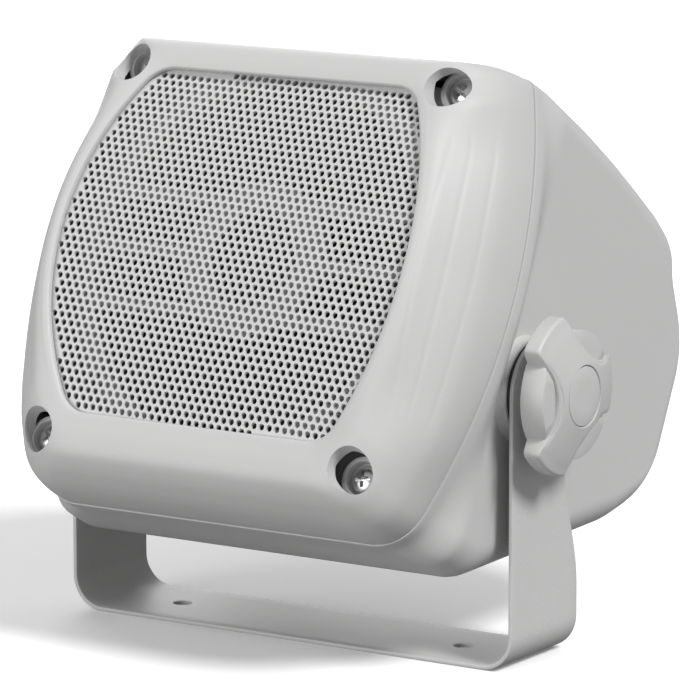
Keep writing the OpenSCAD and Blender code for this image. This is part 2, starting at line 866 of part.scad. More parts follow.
module woofer_back_plate() {
    y0 = plate_y + plate_t + magnet_t;
    color(steel_colour)
    in_cabinet()
    turned()
        polygon([
            [0, plate_y], [pole_r, plate_y], [pole_r, y0], [magnet_r - 4, y0],
            [magnet_r - 4, y0 + plate_t], [0, y0 + plate_t]
        ]);
}

module woofer_screws() {
    color(steel_colour)
    in_cabinet()
    at_woofer_screws()
        translate([0, -bridge_y, 0])
            pan_screw(6.5, 3.5, bridge_y - baffle_y + baffle_t - 1.2, 2.4);
}

// Tweeter: cup held in the centre ring, with its own dome and magnet
module tweeter_housing() {
    color(dark_colour)
    in_cabinet()
    turned()
        polygon([
            [tweeter_r, -bridge_y], [tweeter_r + 2 - touch, -bridge_y],
            [tweeter_r + 2 - touch, -bridge_y + 3.5], [tweeter_r + 4, -bridge_y + 3.5 + touch],
            [tweeter_r + 4, -bridge_y + tweeter_depth], [0, -bridge_y + tweeter_depth],
            [0, -bridge_y + tweeter_depth - 1.5], [tweeter_r + 2.5, -bridge_y + tweeter_depth - 1.5],
            [tweeter_r + 2.5, -bridge_y + 5], [tweeter_r - 1.5, -bridge_y + 5],
            [tweeter_r - 1.5, -bridge_y + 3.5]
        ]);
}

module tweeter_dome() {
    cap_r = tweeter_r - 1;
    y0 = -bridge_y + 5 + touch;
    color(dark_colour)
    in_cabinet()
    turned()
        polygon([
            for (i = [0 : 8]) [12.5 * sin(45 * i / 8), y0 + 0.5 - 12.5 * (cos(45 * i / 8) - cos(45))],
            [cap_r + 2, y0 + 0.1], [cap_r + 2, y0 + 0.7],
            for (i = [8 : -1 : 0])
                [12 * sin(45 * i / 8), y0 + 1.1 - 12 * (cos(45 * i / 8) - cos(45))]
        ]);
}

module tweeter_magnet() {
    y0 = -bridge_y + tweeter_depth;
    color(dark_colour)
    in_cabinet()
    rod_y(tweeter_r - 1, y0, y0 + 5, 0, grille_z);
}

// Crossover: a small board on two posts on the floor of the enclosure
module crossover_board() {
    color([0.1, 0.32, 0.16])
    in_cabinet()
    difference() {
        translate([-board_w / 2, board_y - board_d / 2, board_z])
            cube([board_w, board_d, board_t]);
        for (sx = [-1, 1])
            translate([sx * board_w * 0.4, board_y, board_z - 1])
                cylinder(r = 1.5 + 0.2, h = board_t + 2, $fn = 32);
    }
}

module crossover_capacitor() {
    r = 5.5;
    color([0.2, 0.25, 0.45])
    in_cabinet()
    rod_x(r, -24, 0, board_y, board_z + board_t + r);
}

module crossover_coil() {
    color([0.72, 0.42, 0.2])
    in_cabinet()
    translate([16, board_y, board_z + board_t])
        difference() {
            union() {
                cylinder(r = 6.5, h = 9, $fn = 48);
                cylinder(r = 8, h = 1, $fn = 48);
                translate([0, 0, 8])
                    cylinder(r = 8, h = 1, $fn = 48);
            }
            translate([0, 0, -1])
                cylinder(r = 3, h = 11, $fn = 48);
        }
}

module board_screws() {
    color(steel_colour)
    in_cabinet()
    for (sx = [-1, 1])
        translate([sx * board_w * 0.4, board_y, board_z + board_t])
            rotate([-90, 0, 0])
                pan_screw(5.6, 3, 8, 2);
}

// Grommet that lines the hole for the lead in the back of the enclosure
module cable_grommet() {
    color(dark_colour)
    in_cabinet()
    difference() {
        union() {
            rod_y(grommet_r, shell_depth - shell_wall - 2, shell_depth + touch, 0, back_z);
            rod_y(grommet_r + 2.5, shell_depth + touch, shell_depth + 2, 0, back_z);
        }
        rod_y(grommet_r / 2, shell_depth - 12, shell_depth + 5, 0, back_z);
    }
}

// Pivot: brass inserts in the enclosure, soft washers against the legs
module pivot_inserts() {
    color([0.75, 0.6, 0.3])
    in_cabinet()
    for (s = [-1, 1])
        difference() {
            rod_x(insert_r, s > 0 ? boss_face - insert_len : -boss_face,
                s > 0 ? boss_face : -boss_face + insert_len, pivot_back, -pivot_drop);
            rod_x(stud_d / 2 + running, s > 0 ? boss_face - insert_len - 1 : -boss_face - 1,
                s > 0 ? boss_face + 1 : -boss_face + insert_len + 1, pivot_back, -pivot_drop);
        }
}

module pivot_washers() {
    color(dark_colour)
    in_cabinet()
    for (s = [-1, 1])
        difference() {
            rod_x(head_r - 1, s > 0 ? boss_face : -boss_face - washer_t,
                s > 0 ? boss_face + washer_t : -boss_face, pivot_back, -pivot_drop);
            rod_x(stud_d / 2 + foot, -bracket_w, bracket_w, pivot_back, -pivot_drop);
        }
}

// Clamp knob: round base with three lobes and a stepped scallop between each pair
module knob_form() {
    difference() {
        union() {
            cylinder(d = knob_base_d, h = knob_base_t, $fn = 96);
            difference() {
                translate([0, 0, lobe_lift])
                    cylinder(d = knob_d, h = knob_t - lobe_lift, $fn = 96);
                for (a = [60 : 120 : 300])
                    rotate([0, 0, a])
                        translate([scallop_floor_r + scallop_r, 0, -1])
                            cylinder(r = scallop_r, h = knob_t + 2, $fn = 96);
            }
        }
        translate([0, 0, knob_t - 3])
            cylinder(d = cap_d, h = 4, $fn = 64);
        translate([0, 0, -1])
            cylinder(r = stud_d / 2 + press, h = knob_t, $fn = 48);
    }
}

// Puts a piece drawn along +Z from the leg onto one side of the pivot
module on_pivot(side) {
    translate([side * knob_in, pivot_y, pivot_h])
        rotate([0, side * 90, 0])
            rotate([0, 0, 90])
                children();
}

module knob_right() {
    color(shell_colour) on_pivot(1) knob_form();
}

module knob_left() {
    color(shell_colour) on_pivot(-1) knob_form();
}

module knob_stud() {
    translate([0, 0, -knob_in + boss_face - insert_len + 1])
        cylinder(d = stud_d, h = knob_in - boss_face + insert_len + knob_t - 6, $fn = 48);
}

module knob_stud_right() {
    color(steel_colour) on_pivot(1) knob_stud();
}

module knob_stud_left() {
    color(steel_colour) on_pivot(-1) knob_stud();
}

module knob_cap() {
    translate([0, 0, knob_t - 3])
        cylinder(d = cap_d - 2 * press, h = 2.8, $fn = 64);
}

module knob_cap_right() {
    color(shell_colour) on_pivot(1) knob_cap();
}

module knob_cap_left() {
    color(shell_colour) on_pivot(-1) knob_cap();
}

bracket();
rear_enclosure();
front_bezel();
grille();
front_gasket();
bezel_screws();
baffle();
tweeter_bridge();
woofer_basket();
woofer_surround();
woofer_cone();
woofer_dust_cap();
woofer_former();
woofer_coil();
woofer_spider();
woofer_front_plate();
woofer_magnet();
woofer_back_plate();
woofer_screws();
tweeter_housing();
tweeter_dome();
tweeter_magnet();
crossover_board();
crossover_capacitor();
crossover_coil();
board_screws();
cable_grommet();
pivot_inserts();
pivot_washers();
knob_right();
knob_left();
knob_stud_right();
knob_stud_left();
knob_cap_right();
knob_cap_left();
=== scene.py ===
"""Looks of the box speaker on its strap bracket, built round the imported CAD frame.

Lengths below are millimetres in the cabinet frame of the source, unless a name says otherwise:
X to the right, Y back from the parting line, Z up from the centre of the bezel.
"""

import math

import bmesh
import bpy
import numpy as np
from mathutils import Matrix, Vector


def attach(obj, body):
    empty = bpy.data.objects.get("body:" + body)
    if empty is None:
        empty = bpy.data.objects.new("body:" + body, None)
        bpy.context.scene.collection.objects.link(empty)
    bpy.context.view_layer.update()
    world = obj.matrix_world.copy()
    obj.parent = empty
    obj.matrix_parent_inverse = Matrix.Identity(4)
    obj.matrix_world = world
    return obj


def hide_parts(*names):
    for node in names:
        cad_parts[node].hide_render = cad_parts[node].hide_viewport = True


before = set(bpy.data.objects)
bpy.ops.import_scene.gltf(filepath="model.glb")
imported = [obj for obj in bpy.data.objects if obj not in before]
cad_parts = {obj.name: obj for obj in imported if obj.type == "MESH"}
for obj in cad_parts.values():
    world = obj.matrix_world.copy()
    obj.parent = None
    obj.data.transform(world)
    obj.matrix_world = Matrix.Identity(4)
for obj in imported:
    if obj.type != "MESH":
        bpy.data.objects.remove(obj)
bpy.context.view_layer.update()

# Sizes, as in the source apart from UNDER_DEPTH and LOW_EDGE_R, which are a little larger here
STRAP_DEPTH, STRAP_T, BEND_R = 42.0, 1.5, 12.0
PIVOT_H, PIVOT_FROM_FRONT = 92.3, 17.0
TAPER_LOW, TAPER_HIGH = 22.0, 66.0
HOLE_SPACING, BASE_HOLE_D = 115.0, 6.5
TILT = 26.5
BODY_W, LEG_GAP, FLANGE_REACH = 164.5, 5.45, 7.1
BEZEL_UP, BEZEL_DOWN, BELLY_Z = 82.7, 79.5, 7.5
SIDE_BOW, CORNER_R, LOW_CORNER_R = 216.0, 5.5, 18.0
BEZEL_WALL, SHELL_WALL, FLANGE_DEPTH, NECK_END, SHELL_DEPTH = 3.0, 3.0, 4.0, 19.0, 134.0
TOP_FALL, UNDER_DEPTH, UNDER_SLOPE, UNDER_DROP = 0.09, 31.0, 28.2, 1.4
PIVOT_BACK, PIVOT_DROP = 30.0, 14.3
FRAME_W, GRILLE_H, GRILLE_Z, GRILLE_BOW, GRILLE_CORNER = 20.85, 122.0, 6.2, 114.0, 12.0
ARCH_R, CROWN, GRILLE_T, GRILLE_LAP = 255.0, 34.8, 1.0, 2.5
SCREW_IN, SCREW_SPAN_Z, SCREW_MID_Z, SEAT_Y, WELL_D = 26.85, 132.6, 3.8, 16.5, 11.5
HEAD_D, HEAD_T, SCREW_D, SCREW_LEN = 9.4, 3.4, 5.0, 28.0
KNOB_D, KNOB_BASE_D, SCALLOP_R, SCALLOP_FLOOR, CAP_D = 54.0, 43.0, 22.0, 14.0, 20.0
# The knob as seen: a collar, the disc on it, and lobes that fall towards their tips
COLLAR_R, COLLAR_H, DISC_TOP, KNOB_TOP, LOBE_FALL = 11.0, 5.0, 14.0, 17.0, 5.0
TOUCH, FOOT, RIM_H, GASKET_T, LIP, EDGE_R, LOW_EDGE_R = 0.1, 0.3, 2.8, 1.0, 0.4, 9.0, 12.5
TOP_BACK = [
    (0, 11), (0.7, 16), (2, 21), (4, 28), (6.3, 34), (9, 39.6), (12, 44.6), (16, 49),
    (20, 53), (24, 57.5), (27, 63.6), (31, 66.6), (41, 69.9), (58, 73.4), (76, 76.7), (95, 79.4), (130, 84),
]
BOTTOM_BACK = [(0, -3), (0.7, -8), (2, -11), (5.5, -18.4), (10, -27.3), (14, -31), (22, -37), (60, -90)]
BRACKET_W = BODY_W + 2 * (LEG_GAP + STRAP_T)
BEZEL_W = BODY_W + 2 * FLANGE_REACH
GRILLE_W = BEZEL_W - 2 * FRAME_W
SCREW_X = BEZEL_W / 2 - SCREW_IN
PIVOT_Y = -STRAP_DEPTH / 2 + PIVOT_FROM_FRONT
LEG_OUT = BRACKET_W / 2
WASHER_T, BOSS_R, INSERT_R = 1.5, 17.0, 6.1
BOSS_FACE = LEG_OUT - STRAP_T - WASHER_T - TOUCH
SCREW_SPOTS = [
    (sx, sz, sx * SCREW_X, SCREW_MID_Z + sz * SCREW_SPAN_Z / 2)
    for sx in (-1, 1) for sz in (-1, 1)
]

# The perforation, as counted in the photograph
HOLE_R, PITCH, ROW_TURN = 1.0, 3.0, math.radians(-1.8)

# From the cabinet frame to the world, in metres
CAB = (
    Matrix.Translation(Vector((0, PIVOT_Y, PIVOT_H)) / 1000)
    @ Matrix.Rotation(math.radians(-TILT), 4, "X")
    @ Matrix.Translation(Vector((0, -PIVOT_BACK, PIVOT_DROP)) / 1000)
)


# Materials
def plain(name, colour, rough, metal=0.0, coat=0.0, bump=(0.0, 0.0), spread=0.02, spec=0.5):
    """A moulded, painted or metal surface, slightly uneven in colour and gloss, with a fine texture in bump."""
    m = bpy.data.materials.new(name)
    m.use_nodes = True
    nt = m.node_tree
    bsdf = nt.nodes["Principled BSDF"]
    bsdf.inputs["Metallic"].default_value = metal
    bsdf.inputs["Coat Weight"].default_value = coat
    bsdf.inputs["Coat Roughness"].default_value = 0.2
    bsdf.inputs["Specular IOR Level"].default_value = spec
    where = nt.nodes.new("ShaderNodeTexCoord")
    cloud = nt.nodes.new("ShaderNodeTexNoise")
    cloud.inputs["Scale"].default_value = 22.0
    cloud.inputs["Detail"].default_value = 5.0
    nt.links.new(where.outputs["Object"], cloud.inputs["Vector"])
    ramp = nt.nodes.new("ShaderNodeMapRange")
    ramp.inputs["To Min"].default_value = 1.0 - spread
    ramp.inputs["To Max"].default_value = 1.0 + spread
    nt.links.new(cloud.outputs["Fac"], ramp.inputs["Value"])
    tint = nt.nodes.new("ShaderNodeVectorMath")
    tint.operation = "SCALE"
    tint.inputs[0].default_value = colour
    nt.links.new(ramp.outputs["Result"], tint.inputs["Scale"])
    nt.links.new(tint.outputs["Vector"], bsdf.inputs["Base Color"])
    gloss = nt.nodes.new("ShaderNodeMapRange")
    gloss.inputs["To Min"].default_value = max(0.02, rough - 0.05)
    gloss.inputs["To Max"].default_value = min(1.0, rough + 0.05)
    nt.links.new(cloud.outputs["Fac"], gloss.inputs["Value"])
    nt.links.new(gloss.outputs["Result"], bsdf.inputs["Roughness"])
    if bump[0]:
        grain = nt.nodes.new("ShaderNodeTexNoise")
        grain.inputs["Scale"].default_value = bump[0]
        grain.inputs["Detail"].default_value = 3.0
        nt.links.new(where.outputs["Object"], grain.inputs["Vector"])
        relief = nt.nodes.new("ShaderNodeBump")
        relief.inputs["Strength"].default_value = bump[1]
        relief.inputs["Distance"].default_value = 0.0003
        nt.links.new(grain.outputs["Fac"], relief.inputs["Height"])
        nt.links.new(relief.outputs["Normal"], bsdf.inputs["Normal"])
    return m


shell_mat = plain("moulded_plastic", (0.56, 0.56, 0.557), 0.5, bump=(1400, 0.12), spread=0.015, spec=0.3)
knob_mat = plain("knob_plastic", (0.55, 0.55, 0.547), 0.45, bump=(1400, 0.12), spread=0.015)
coat_mat = plain("powder_coat", (0.58, 0.58, 0.577), 0.5, bump=(900, 0.35), spread=0.02)
mesh_mat = plain("grille_paint", (0.60, 0.60, 0.597), 0.45, bump=(1200, 0.2), spread=0.02)
steel_mat = plain("stainless_steel", (0.80, 0.80, 0.80), 0.32, metal=1.0, bump=(600, 0.08), spread=0.04)
zinc_mat = plain("plated_steel", (0.55, 0.56, 0.57), 0.35, metal=1.0, bump=(500, 0.1), spread=0.05)
brass_mat = plain("brass", (0.72, 0.52, 0.24), 0.3, metal=1.0, bump=(500, 0.1), spread=0.05)
rubber_mat = plain("black_rubber", (0.035, 0.035, 0.037), 0.7, bump=(700, 0.3), spread=0.1)
paper_mat = plain("cone_paper", (0.03, 0.03, 0.032), 0.8, bump=(350, 0.6), spread=0.15)
ferrite_mat = plain("ferrite", (0.05, 0.05, 0.055), 0.55, bump=(450, 0.5), spread=0.15)
basket_mat = plain("black_paint", (0.045, 0.045, 0.047), 0.5, bump=(600, 0.3), spread=0.08)
board_mat = plain("circuit_board", (0.03, 0.16, 0.07), 0.4, bump=(800, 0.2), spread=0.1)
copper_mat = plain("copper_wire", (0.72, 0.32, 0.14), 0.35, metal=1.0, bump=(2500, 0.5), spread=0.08)
film_mat = plain("kapton_film", (0.55, 0.33, 0.08), 0.35, bump=(500, 0.1), spread=0.1)
cloth_mat = plain("spider_cloth", (0.48, 0.33, 0.12), 0.85, bump=(1800, 0.7), spread=0.12)
wrap_mat = plain("capacitor_wrap", (0.06, 0.10, 0.28), 0.3, bump=(400, 0.1), spread=0.05)
inner_mat = plain("inner_plastic", (0.42, 0.42, 0.417), 0.5, bump=(1200, 0.15), spread=0.02)

NODE_MATS = {
    "baffle": inner_mat, "tweeter_bridge": inner_mat, "front_gasket": rubber_mat,
    "woofer_basket": basket_mat, "woofer_surround": rubber_mat, "woofer_cone": paper_mat,
    "woofer_dust_cap": paper_mat, "woofer_former": film_mat, "woofer_coil": copper_mat,
    "woofer_spider": cloth_mat, "woofer_front_plate": zinc_mat, "woofer_magnet": ferrite_mat,
    "woofer_back_plate": zinc_mat, "woofer_screws": zinc_mat, "tweeter_housing": basket_mat,
    "tweeter_dome": paper_mat, "tweeter_magnet": ferrite_mat, "crossover_board": board_mat,
    "crossover_capacitor": wrap_mat, "crossover_coil": copper_mat, "board_screws": zinc_mat,
    "cable_grommet": rubber_mat, "pivot_inserts": brass_mat, "pivot_washers": rubber_mat,
    "knob_stud_right": steel_mat, "knob_stud_left": steel_mat,
}
for node, mat in NODE_MATS.items():
    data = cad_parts[node].data
    data.materials.clear()
    data.materials.append(mat)


# Mesh helpers
def piece(name, verts, faces, mat, body, slot, place=None, sharp=35.0):
    """A mesh from millimetre points, put in place and made to ride on a body."""
    data = bpy.data.meshes.new(name)
    data.from_pydata([tuple(v) for v in np.asarray(verts, float) / 1000], [], faces)
    bm = bmesh.new()
    bm.from_mesh(data)
    bmesh.ops.remove_doubles(bm, verts=bm.verts, dist=1e-6)
    bmesh.ops.dissolve_degenerate(bm, dist=1e-7, edges=bm.edges)
    bmesh.ops.recalc_face_normals(bm, faces=bm.faces)
    bm.to_mesh(data)
    bm.free()
    obj = bpy.data.objects.new(name, data)
    bpy.context.scene.collection.objects.link(obj)
    data.transform(CAB if place is None else place)
    data.materials.append(mat)
    for p in data.polygons:
        p.use_smooth = True
    data.set_sharp_from_angle(angle=math.radians(sharp))
    if body:
        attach(obj, body)
    return obj


def skin(rings, closed=False, caps=False):
    """Points and quads over equal rings of points."""
    rings = [np.asarray(r, float) for r in rings]
    m, n = len(rings), len(rings[0])
    verts = [tuple(p) for r in rings for p in r]
    faces = []
    for i in range(m if closed else m - 1):
        a, b = i * n, ((i + 1) % m) * n
        for j in range(n):
            k = (j + 1) % n
            faces.append((a + j, a + k, b + k, b + j))
    if caps:
        for i, flip in ((0, False), (m - 1, True)):
            c = len(verts)
            verts.append(tuple(rings[i].mean(0)))
            for j in range(n):
                k = (j + 1) % n
                f = (i * n + j, i * n + k, c)
                faces.append(f[::-1] if flip else f)
    return verts, faces


def apply_mods(obj):
    """Replaces the mesh by its evaluated form."""
    dg = bpy.context.evaluated_depsgraph_get()
    data = bpy.data.meshes.new_from_object(obj.evaluated_get(dg))
    obj.modifiers.clear()
    obj.data = data


def cut(obj, tool, sharp=35.0):
    """Cuts one mesh out of another and deletes the tool."""
    mod = obj.modifiers.new("cut", "BOOLEAN")
    mod.operation, mod.solver, mod.object = "DIFFERENCE", "EXACT", tool
    apply_mods(obj)
    bpy.data.objects.remove(tool)
    for p in obj.data.polygons:
        p.use_smooth = True
    obj.data.set_sharp_from_angle(angle=math.radians(sharp))


def lathe(profile, n=64):
    """Rings of a profile of (radius, depth) turned about Y."""
    a = np.linspace(0, 2 * math.pi, n, endpoint=False)
    return [np.stack([r * np.cos(a), np.full(n, y), r * np.sin(a)], 1) for r, y in profile]


# Outlines
def quarter(hw, h, bow, rc, sx, sz, zmid, counts):
    """One quarter of a barrel outline: half a flat edge, a corner arc and half a bowed side."""
    nt, nc, ns = counts
    ax = hw - bow
    cx = ax + math.sqrt((bow - rc) ** 2 - (h - rc) ** 2)
    turn = math.asin((h - rc) / (bow - rc))
    pts = [(sx * cx * i / nt, zmid + sz * h) for i in range(nt)]
    for i in range(nc):
        a = math.pi / 2 - (math.pi / 2 - turn) * i / nc
        pts.append((sx * (cx + rc * math.cos(a)), zmid + sz * (h - rc + rc * math.sin(a))))
    for i in range(ns + 1):
        a = turn * (1 - i / ns)
        pts.append((sx * (ax + bow * math.cos(a)), zmid + sz * bow * math.sin(a)))
    return pts


def barrel(hw, up, down, bow, rc, low_rc, zmid, counts=(14, 14, 26)):
    """A closed outline with flat top and bottom, bowed sides and rounded corners."""
    q = [
        quarter(hw, up, bow, rc, 1, 1, zmid, counts),
        quarter(hw, down, bow, low_rc, 1, -1, zmid, counts),
        quarter(hw, down, bow, low_rc, -1, -1, zmid, counts),
        quarter(hw, up, bow, rc, -1, 1, zmid, counts),
    ]
    n = len(q[0]) - 1
    return np.array(q[0][:n] + q[1][n:0:-1] + q[2][:n] + q[3][n:0:-1])


def bezel_line(inset):
    return barrel(
        BEZEL_W / 2 - inset, BEZEL_UP - BELLY_Z - inset, BEZEL_DOWN + BELLY_Z - inset,
        SIDE_BOW - inset, max(2, CORNER_R - inset), max(2, LOW_CORNER_R - inset), BELLY_Z,
    )


def grille_line(grow):
    return barrel(
        GRILLE_W / 2 + grow, GRILLE_H / 2 + grow, GRILLE_H / 2 + grow,
        GRILLE_BOW + grow, GRILLE_CORNER + grow, GRILLE_CORNER + grow, GRILLE_Z,
    )


def arch_y(z):
    return ARCH_R - CROWN - np.sqrt(ARCH_R**2 - (z - GRILLE_Z) ** 2)


# Gaps that are seen: at the parting line, in front of the gasket, and between the grille and the rim over it
PART_GAP, RIM_SLIT = 0.45, 0.8

# How the wells open towards the face: their slope, and how far the mouths of the upper and lower ones lean
# outwards and up, over a depth. The cutter reaches out in front of the whole bezel.
WELL_SLOPE, WELL_LEAN, WELL_DEPTH, WELL_REACH = 0.15, {1: (0.4, -1.5), -1: (0.0, 0.0)}, 7.0, 62.5

# Bezel: the source's profiles, resampled finely, with three flutes down each flank
SIDE = [(0.035, 1.0), (0.12, 1), (0.26, 0.96), (0.45, 0.82), (0.63, 0.675), (0.785, 0.53), (0.895, 0.4),
        (0.957, 0.25), (0.99, 0.105), (1, 0)]
TOP = [(0.035, 1.0), (0.16, 1), (0.35, 0.985), (0.55, 0.95), (0.72, 0.85), (0.83, 0.69), (0.91, 0.5),
       (0.955, 0.33), (0.987, 0.15), (1, 0)]
BOTTOM = [(0.035, 1.0), (0.12, 1), (0.35, 0.985), (0.58, 0.93), (0.74, 0.8), (0.85, 0.62), (0.92, 0.45),
          (0.96, 0.29), (0.988, 0.13), (1, 0)]


def smooth_profile(pts, n):
    """Catmull-Rom through the points, n steps between each pair."""
    p = np.array([pts[0]] + list(pts) + [pts[-1]], float)
    out = []
    for i in range(1, len(p) - 2):
        for k in range(n):
            t = k / n
            a, b, c, d = p[i - 1 : i + 3]
            square, cube = 2 * a - 5 * b + 4 * c - d, 3 * b - a - 3 * c + d
            out.append(0.5 * (2 * b + (c - a) * t + square * t**2 + cube * t**3))
    out.append(p[-1])
    return np.array(out)


def corner_share(p):
    """How far each point of the opening belongs to a corner, from 0 to 1."""
    x = np.abs(p[:, 0]) / (GRILLE_W / 2)
    z = np.abs(p[:, 1] - GRILLE_Z) / (GRILLE_H / 2)
    return np.clip((x - 0.62) / 0.16, 0, 1) * np.clip((z - 0.7) / 0.15, 0, 1)


class Front:
    """The outer face of the bezel: rings of points from the grille opening to the parting line."""

    steps = 10

    def __init__(self):
        self.side, self.top, self.low = (smooth_profile(p, self.steps) for p in (SIDE, TOP, BOTTOM))
        self.opening, self.outer = grille_line(0), bezel_line(0)
        z = self.opening[:, 1]
        self.front = arch_y(z) - RIM_H
        side = np.clip(1 - 2.2 * np.maximum(0, np.abs(z - GRILLE_Z) / (GRILLE_H / 2) - 0.55), 0, 1)
        corner = np.where(z > GRILLE_Z, 0.55, 0.4) * corner_share(self.opening)
        self.s = np.maximum(side * side * (3 - 2 * side), corner)[:, None]
        self.upper = np.clip(0.5 + (z - GRILLE_Z) / 40, 0, 1)[:, None]
        self.lean = np.clip((GRILLE_Z - 8 - z) / 320, -0.03, 0.1)[:, None]

    def blend(self, i):
        ends = self.top[i] * self.upper + self.low[i] * (1 - self.upper)
        b = self.side[i] * self.s + ends * (1 - self.s)
        swell = math.sin(math.pi / 8 * max(0, i / self.steps - 1))
        return b + np.concatenate([self.s * self.lean * swell, 0 * self.s], 1)

    def ring(self, i):
        b = self.blend(i)
        p = self.opening + (self.outer - self.opening) * b[:, :1]
        return np.stack([p[:, 0], self.front * b[:, 1] - PART_GAP * (1 - b[:, 1]), p[:, 1]], 1)


# The three fine flutes down each flank: distance from the middle, rate of the arch, height of its top
FLUTES = ((73.6, 0.0011, -5.0), (79.2, 0.0017, -1.0), (84.6, 0.0019, 1.0))
FLUTE_W, FLUTE_D, FLUTE_TOP, FLUTE_END = 0.42, 0.3, 58.0, -46.0


def flute_depth(ring):
    """How far each point of a ring is sunk into a flute, along Y."""
    x, z = np.abs(ring[:, 0]), ring[:, 2]
    fade = np.clip((FLUTE_TOP - z) / 10, 0, 1) * np.clip((z - FLUTE_END) / 14, 0, 1)
    sunk = sum(np.exp(-(((x - mid + arch * (z - top) ** 2) / FLUTE_W) ** 2)) for mid, arch, top in FLUTES)
    return np.stack([0 * x, FLUTE_D * fade * sunk, 0 * x], 1)


def bezel():
    f = Front()
    seat, inner = grille_line(GRILLE_LAP + TOUCH), bezel_line(BEZEL_WALL)
    z = f.opening[:, 1]
    rings = []
    for e in (-RIM_SLIT, -RIM_H * 0.45, -RIM_H * 0.6, -RIM_H * 0.72):
        rings.append(np.stack([f.opening[:, 0], arch_y(z) + e, z], 1))
    for t, e in ((0.008, 0.13), (0.02, 0.05)):
        p = f.opening + (f.outer - f.opening) * t
        rings.append(np.stack([p[:, 0], f.front + RIM_H * e, p[:, 1]], 1))
    last = len(f.side) - 1
    for i in range(last + 1):
        r = f.ring(i)
        rings.append(r + flute_depth(r))
    for d, y in ((0.35, -PART_GAP), (0.7, -PART_GAP - 0.1), (0.75, -GASKET_T)):
        p = bezel_line(d)
        rings.append(np.stack([p[:, 0], np.full(len(p), y), p[:, 1]], 1))
    for i in range(last, f.steps * 2, -6):
        b = f.blend(i)
        q = seat + (inner - seat) * np.maximum(0.06, (b[:, :1] - 0.2) / 0.8)
        y = np.minimum(f.front * b[:, 1] - GASKET_T * (1 - b[:, 1]) + BEZEL_WALL, -GASKET_T)
        if i == last:
            y = np.full(len(z), -GASKET_T)
        rings.append(np.stack([q[:, 0], y, q[:, 1]], 1))
    for e in (GRILLE_T + 2, -TOUCH):
        rings.append(np.stack([seat[:, 0], arch_y(seat[:, 1]) + e, seat[:, 1]], 1))
    verts, faces = skin(rings, closed=True)
    obj = piece("bezel", verts, faces, shell_mat, "cabinet", "shell_plastic")
    for spot in SCREW_SPOTS:
        cut(obj, well_cutter(*spot))
    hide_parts("front_bezel")
    return obj


def well_cutter(sx, sz, x, z):
    """The flared hole of one screw well, from in front of the bezel down to the screw's seat."""
    r, start = WELL_D / 2, -SEAT_Y - 1.0
    prof = [(r + WELL_SLOPE * WELL_REACH, start - WELL_REACH),
            (r + WELL_SLOPE * WELL_DEPTH, start - WELL_DEPTH), (r, start),
            (r - 0.25, -SEAT_Y - 0.3), (r - 0.8, -SEAT_Y)]
    across, upwards = WELL_LEAN[sz]
    rings = []
    for ring in lathe(prof, 64):
        share = min(1, max(0, (start - ring[0, 1]) / WELL_DEPTH))
        rings.append(ring + [x + sx * across * share, 0, z + upwards * share])
    return piece("tool", *skin(rings, caps=True), shell_mat, None, None)


def bezel_wells():
    """Tubes of the screw wells behind the face, each with its floor."""
    outer, bore, floor_y = WELL_D / 2 + 1.4, SCREW_D / 2 + 0.3, -SEAT_Y + 2.5
    prof = [(outer, -SEAT_Y - 4), (outer, floor_y), (bore, floor_y), (bore, -SEAT_Y),
            (WELL_D / 2 - 0.9, -SEAT_Y), (WELL_D / 2 - 0.05, -SEAT_Y - 0.8), (WELL_D / 2 - 0.05, -SEAT_Y - 4)]
    verts, faces = [], []
    for _, _, x, z in SCREW_SPOTS:
        v, f = skin([ring + [x, 0, z] for ring in lathe(prof, 48)], closed=True)
        faces += [tuple(i + len(verts) for i in quad) for quad in f]
        verts += v
    piece("bezel_wells", verts, faces, shell_mat, "cabinet", "shell_plastic")


# Grille: a cell of the sheet, hexagonal outside, round every point of the pattern
CELL_SIDES = 12


def inside(line, x, z):
    """Whether a point lies inside a closed outline."""
    x0, z0 = line[:, 0], line[:, 1]
    x1, z1 = np.roll(x0, -1), np.roll(z0, -1)
    hit = ((z0 > z) != (z1 > z)) & (x < (x1 - x0) * (z - z0) / (z1 - z0 + 1e-12) + x0)
    return hit.sum() % 2 == 1


def cell_faces(base, is_open):
    """Front, back and hole wall of one cell, or its front and back alone where it has no hole."""
    m = CELL_SIDES
    back = base + (2 * m if is_open else m + 1)
    out = []
    for k in range(m):
        n = (k + 1) % m
        if is_open:
            out += [(base + k, base + n, base + m + n, base + m + k),
                    (back + n, back + k, back + m + k, back + m + n),
                    (base + m + k, base + m + n, back + m + n, back + m + k)]
        else:
            out += [(base + k, base + n, base + m), (back + n, back + k, back + m)]
    return out


